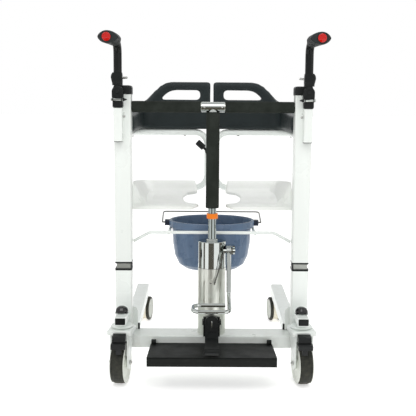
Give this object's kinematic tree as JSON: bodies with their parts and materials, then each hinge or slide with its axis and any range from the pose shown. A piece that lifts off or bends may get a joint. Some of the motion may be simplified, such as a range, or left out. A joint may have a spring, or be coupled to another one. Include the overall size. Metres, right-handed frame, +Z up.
{
  "type": "patient transfer chair",
  "caption": "Wheeled patient transfer lift chair: telescopic columns, foot-pumped hydraulic jack, swing-away seat and back halves, commode bucket and folding push handles.",
  "frame": {"origin": "on the floor under the middle of the overall footprint", "axes": "+Z up, +Y from the push handles towards the side where the seat opens, +X across"},
  "size_m": [0.6368, 0.8372, 1.0246],
  "materials": {
    "white_powder_coat": "satin white powder coat",
    "white_seat_plastic": "moulded, semi-gloss",
    "black_plastic": "matte moulded",
    "black_foam": "closed-cell foam sleeve",
    "grey_pu_skin": "self-skinned polyurethane foam",
    "chrome": "bright plated",
    "brushed_steel": "brushed",
    "grey_slide_tube": "satin anodised",
    "orange_plastic": "gloss",
    "blue_bucket": "moulded, semi-gloss",
    "grey_rubber": "matte rubber",
    "beige_plastic": "matte moulded"
  },
  "bodies": {
    "base": {"base_crossbar": "white_powder_coat", "left_side_rail": "white_powder_coat", "right_side_rail": "white_powder_coat", "left_lower_column": "white_powder_coat", "right_lower_column": "white_powder_coat", "left_column_bush": "black_plastic", "right_column_bush": "black_plastic", "left_dome_nut": "black_plastic", "right_dome_nut": "black_plastic", "jack_housing": "brushed_steel", "jack_head": "chrome", "footplate": "black_plastic", "pump_bracket": "chrome", "release_block": "black_plastic"},
    "carriage": {"left_upper_column": "white_powder_coat", "right_upper_column": "white_powder_coat", "left_inner_post": "grey_slide_tube", "right_inner_post": "grey_slide_tube", "left_column_cap": "black_plastic", "right_column_cap": "black_plastic", "left_bar_foam": "black_foam", "right_bar_foam": "black_foam", "top_bar": "brushed_steel", "tee_clamp": "chrome", "piston_rod": "chrome", "piston_foam": "black_foam", "stop_ring": "orange_plastic", "bucket_carrier": "white_powder_coat", "left_handle_mount": "black_plastic", "right_handle_mount": "black_plastic"},
    "left_half": {"left_swing_frame": "white_powder_coat", "left_seat_half": "white_seat_plastic", "left_back_pad": "grey_pu_skin"},
    "right_half": {"right_swing_frame": "white_powder_coat", "right_seat_half": "white_seat_plastic", "right_back_pad": "grey_pu_skin"},
    "latch": {"latch_lever": "black_plastic"},
    "left_handle": {"left_handle_tube": "black_plastic", "left_handle_grip": "black_plastic"},
    "right_handle": {"right_handle_tube": "black_plastic", "right_handle_grip": "black_plastic"},
    "left_clamp": {"left_clamp_lever": "chrome"},
    "right_clamp": {"right_clamp_lever": "chrome"},
    "commode_bucket": {"bucket": "blue_bucket"},
    "bail": {"bucket_bail": "brushed_steel"},
    "pump": {"pump_pedal": "chrome"},
    "release": {"release_pedal": "black_plastic"},
    "near_left_castor": {"near_left_fork": "white_powder_coat"},
    "near_left_wheel": {"near_left_tyre": "grey_rubber", "near_left_hub": "white_powder_coat"},
    "near_left_pedal": {"near_left_brake": "black_plastic"},
    "near_right_castor": {"near_right_fork": "white_powder_coat"},
    "near_right_wheel": {"near_right_tyre": "grey_rubber", "near_right_hub": "white_powder_coat"},
    "near_right_pedal": {"near_right_brake": "black_plastic"},
    "far_left_castor": {"far_left_hood": "beige_plastic"},
    "far_left_wheel": {"far_left_wheels": "grey_rubber"},
    "far_right_castor": {"far_right_hood": "beige_plastic"},
    "far_right_wheel": {"far_right_wheels": "grey_rubber"}
  },
  "joints": [
    {"name": "lift_slide", "type": "slide", "parent": "base", "child": "carriage", "axis": [0, 0, 1], "range_m": [0, 0.18]},
    {"name": "left_half_swing", "type": "hinge", "parent": "carriage", "child": "left_half", "pos_m": [-0.2685, -0.17458, 0.6], "axis": [0, 0, 1], "range_deg": [0, 90]},
    {"name": "right_half_swing", "type": "hinge", "parent": "carriage", "child": "right_half", "pos_m": [0.2685, -0.17458, 0.6], "axis": [0, 0, -1], "range_deg": [0, 90]},
    {"name": "latch_turn", "type": "hinge", "parent": "left_half", "child": "latch", "pos_m": [-0.0139, 0.16492, 0.665], "axis": [0, 1, 0], "range_deg": [0, 60]},
    {"name": "left_handle_fold", "type": "hinge", "parent": "carriage", "child": "left_handle", "pos_m": [-0.2795, -0.26208, 0.862], "axis": [0, -1, 0], "range_deg": [0, 90]},
    {"name": "right_handle_fold", "type": "hinge", "parent": "carriage", "child": "right_handle", "pos_m": [0.2795, -0.26208, 0.862], "axis": [0, 1, 0], "range_deg": [0, 90]},
    {"name": "left_clamp_turn", "type": "hinge", "parent": "carriage", "child": "left_clamp", "pos_m": [-0.2795, -0.28038, 0.839], "axis": [1, 0, 0], "range_deg": [0, 90]},
    {"name": "right_clamp_turn", "type": "hinge", "parent": "carriage", "child": "right_clamp", "pos_m": [0.2795, -0.28038, 0.839], "axis": [1, 0, 0], "range_deg": [0, 90]},
    {"name": "bucket_slide", "type": "slide", "parent": "carriage", "child": "commode_bucket", "axis": [0, 1, 0], "range_m": [0, 0.35]},
    {"name": "bail_lift", "type": "hinge", "parent": "commode_bucket", "child": "bail", "pos_m": [0, -0.05608, 0.446], "axis": [1, 0, 0], "range_deg": [0, 14]},
    {"name": "pump_stroke", "type": "hinge", "parent": "base", "child": "pump", "pos_m": [0.05, -0.25858, 0.39], "axis": [1, 0, 0], "range_deg": [0, 12], "stiffness_Nm_per_rad": 3, "springref_deg": -14.32},
    {"name": "release_press", "type": "hinge", "parent": "base", "child": "release", "pos_m": [0, -0.28258, 0.175], "axis": [1, 0, 0], "range_deg": [0, 4], "stiffness_Nm_per_rad": 1.2, "springref_deg": -8.59},
    {"name": "near_left_swivel", "type": "hinge", "parent": "base", "child": "near_left_castor", "pos_m": [-0.2685, -0.29858, 0.165], "axis": [0, 0, -1], "range_deg": [-50, 100]},
    {"name": "near_left_roll", "type": "hinge", "parent": "near_left_castor", "child": "near_left_wheel", "pos_m": [-0.27107, -0.32043, 0.0625], "axis": [0.9932, -0.1167, 0], "continuous": true},
    {"name": "near_left_brake_press", "type": "hinge", "parent": "near_left_castor", "child": "near_left_pedal", "pos_m": [-0.27013, -0.34923, 0.15], "axis": [0.9997, -0.0234, 0], "range_deg": [0, 5]},
    {"name": "near_right_swivel", "type": "hinge", "parent": "base", "child": "near_right_castor", "pos_m": [0.2685, -0.29858, 0.165], "axis": [0, 0, 1], "range_deg": [-50, 100]},
    {"name": "near_right_roll", "type": "hinge", "parent": "near_right_castor", "child": "near_right_wheel", "pos_m": [0.27107, -0.32043, 0.0625], "axis": [0.9932, 0.1167, 0], "continuous": true},
    {"name": "near_right_brake_press", "type": "hinge", "parent": "near_right_castor", "child": "near_right_pedal", "pos_m": [0.27013, -0.34923, 0.15], "axis": [0.9997, 0.0234, 0], "range_deg": [0, 5]},
    {"name": "far_left_swivel", "type": "hinge", "parent": "base", "child": "far_left_castor", "pos_m": [-0.2545, 0.34342, 0.094], "axis": [0, 0, 1], "continuous": true},
    {"name": "far_left_roll", "type": "hinge", "parent": "far_left_castor", "child": "far_left_wheel", "pos_m": [-0.25012, 0.37108, 0.045], "axis": [0.9877, -0.1564, 0], "continuous": true},
    {"name": "far_right_swivel", "type": "hinge", "parent": "base", "child": "far_right_castor", "pos_m": [0.2545, 0.34342, 0.094], "axis": [0, 0, 1], "continuous": true},
    {"name": "far_right_roll", "type": "hinge", "parent": "far_right_castor", "child": "far_right_wheel", "pos_m": [0.25109, 0.37121, 0.045], "axis": [0.9925, 0.1219, 0], "continuous": true}
  ]
}
